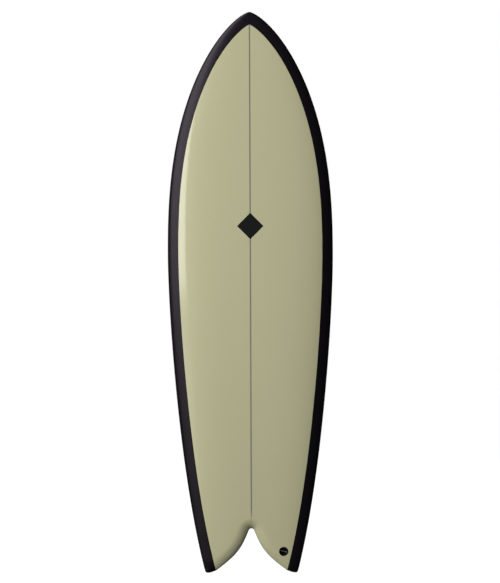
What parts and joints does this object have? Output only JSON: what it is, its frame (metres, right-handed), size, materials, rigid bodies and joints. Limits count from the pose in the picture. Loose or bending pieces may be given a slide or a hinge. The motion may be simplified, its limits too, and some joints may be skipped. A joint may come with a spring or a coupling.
{
  "type": "surfboard",
  "caption": "Short swallow-tail surfboard with a cream deck, dark rail bands, wood stringer, leash plug and removable twin keel fins.",
  "frame": {"origin": "between the two tail tips, at their lowest level and halfway through the board's thickness there, where a rack or stand holds the board up on its tail", "axes": "+Z from tail to nose, -Y out of the deck, +Y out of the underside and towards the fins, +X to the right as the deck is looked at with the nose up"},
  "size_m": [0.5268, 0.2283, 1.7774],
  "materials": {
    "deck_glass": "satin",
    "bottom_glass": "satin",
    "rail_glass": "satin",
    "foam": "matte",
    "stringer_wood": "satin",
    "emblem_print": "satin",
    "plug_plastic": "satin",
    "bar_steel": "satin",
    "screw_steel": "satin",
    "fin_glass": "satin"
  },
  "bodies": {
    "root": {"deck_laminate": "deck_glass", "bottom_laminate": "bottom_glass", "rail_band_left": "rail_glass", "rail_band_right": "rail_glass", "foam_core_left": "foam", "foam_core_right": "foam", "stringer": "stringer_wood", "deck_emblem": "emblem_print", "leash_plug_cup": "plug_plastic", "leash_plug_bar": "bar_steel", "fin_plug_front_left": "plug_plastic", "fin_plug_rear_left": "plug_plastic", "fin_plug_front_right": "plug_plastic", "fin_plug_rear_right": "plug_plastic"},
    "fin_left_body": {"fin_left": "fin_glass"},
    "fin_screw_front_left_body": {"fin_screw_front_left": "screw_steel"},
    "fin_screw_rear_left_body": {"fin_screw_rear_left": "screw_steel"},
    "fin_right_body": {"fin_right": "fin_glass"},
    "fin_screw_front_right_body": {"fin_screw_front_right": "screw_steel"},
    "fin_screw_rear_right_body": {"fin_screw_rear_right": "screw_steel"}
  },
  "joints": [
    {"name": "fin_left_slide", "type": "slide", "parent": "root", "child": "fin_left_body", "axis": [-0.1085, 0.9905, -0.085], "range_m": [0, 0.03]},
    {"name": "fin_screw_front_left_slide", "type": "slide", "parent": "root", "child": "fin_screw_front_left_body", "axis": [0.4808, 0.8712, -0.099], "range_m": [0, 0.014]},
    {"name": "fin_screw_rear_left_slide", "type": "slide", "parent": "root", "child": "fin_screw_rear_left_body", "axis": [0.4808, 0.8712, -0.099], "range_m": [0, 0.014]},
    {"name": "fin_right_slide", "type": "slide", "parent": "root", "child": "fin_right_body", "axis": [0.1085, 0.9905, -0.085], "range_m": [0, 0.03]},
    {"name": "fin_screw_front_right_slide", "type": "slide", "parent": "root", "child": "fin_screw_front_right_body", "axis": [-0.4808, 0.8712, -0.099], "range_m": [0, 0.014]},
    {"name": "fin_screw_rear_right_slide", "type": "slide", "parent": "root", "child": "fin_screw_rear_right_body", "axis": [-0.4808, 0.8712, -0.099], "range_m": [0, 0.014]}
  ]
}
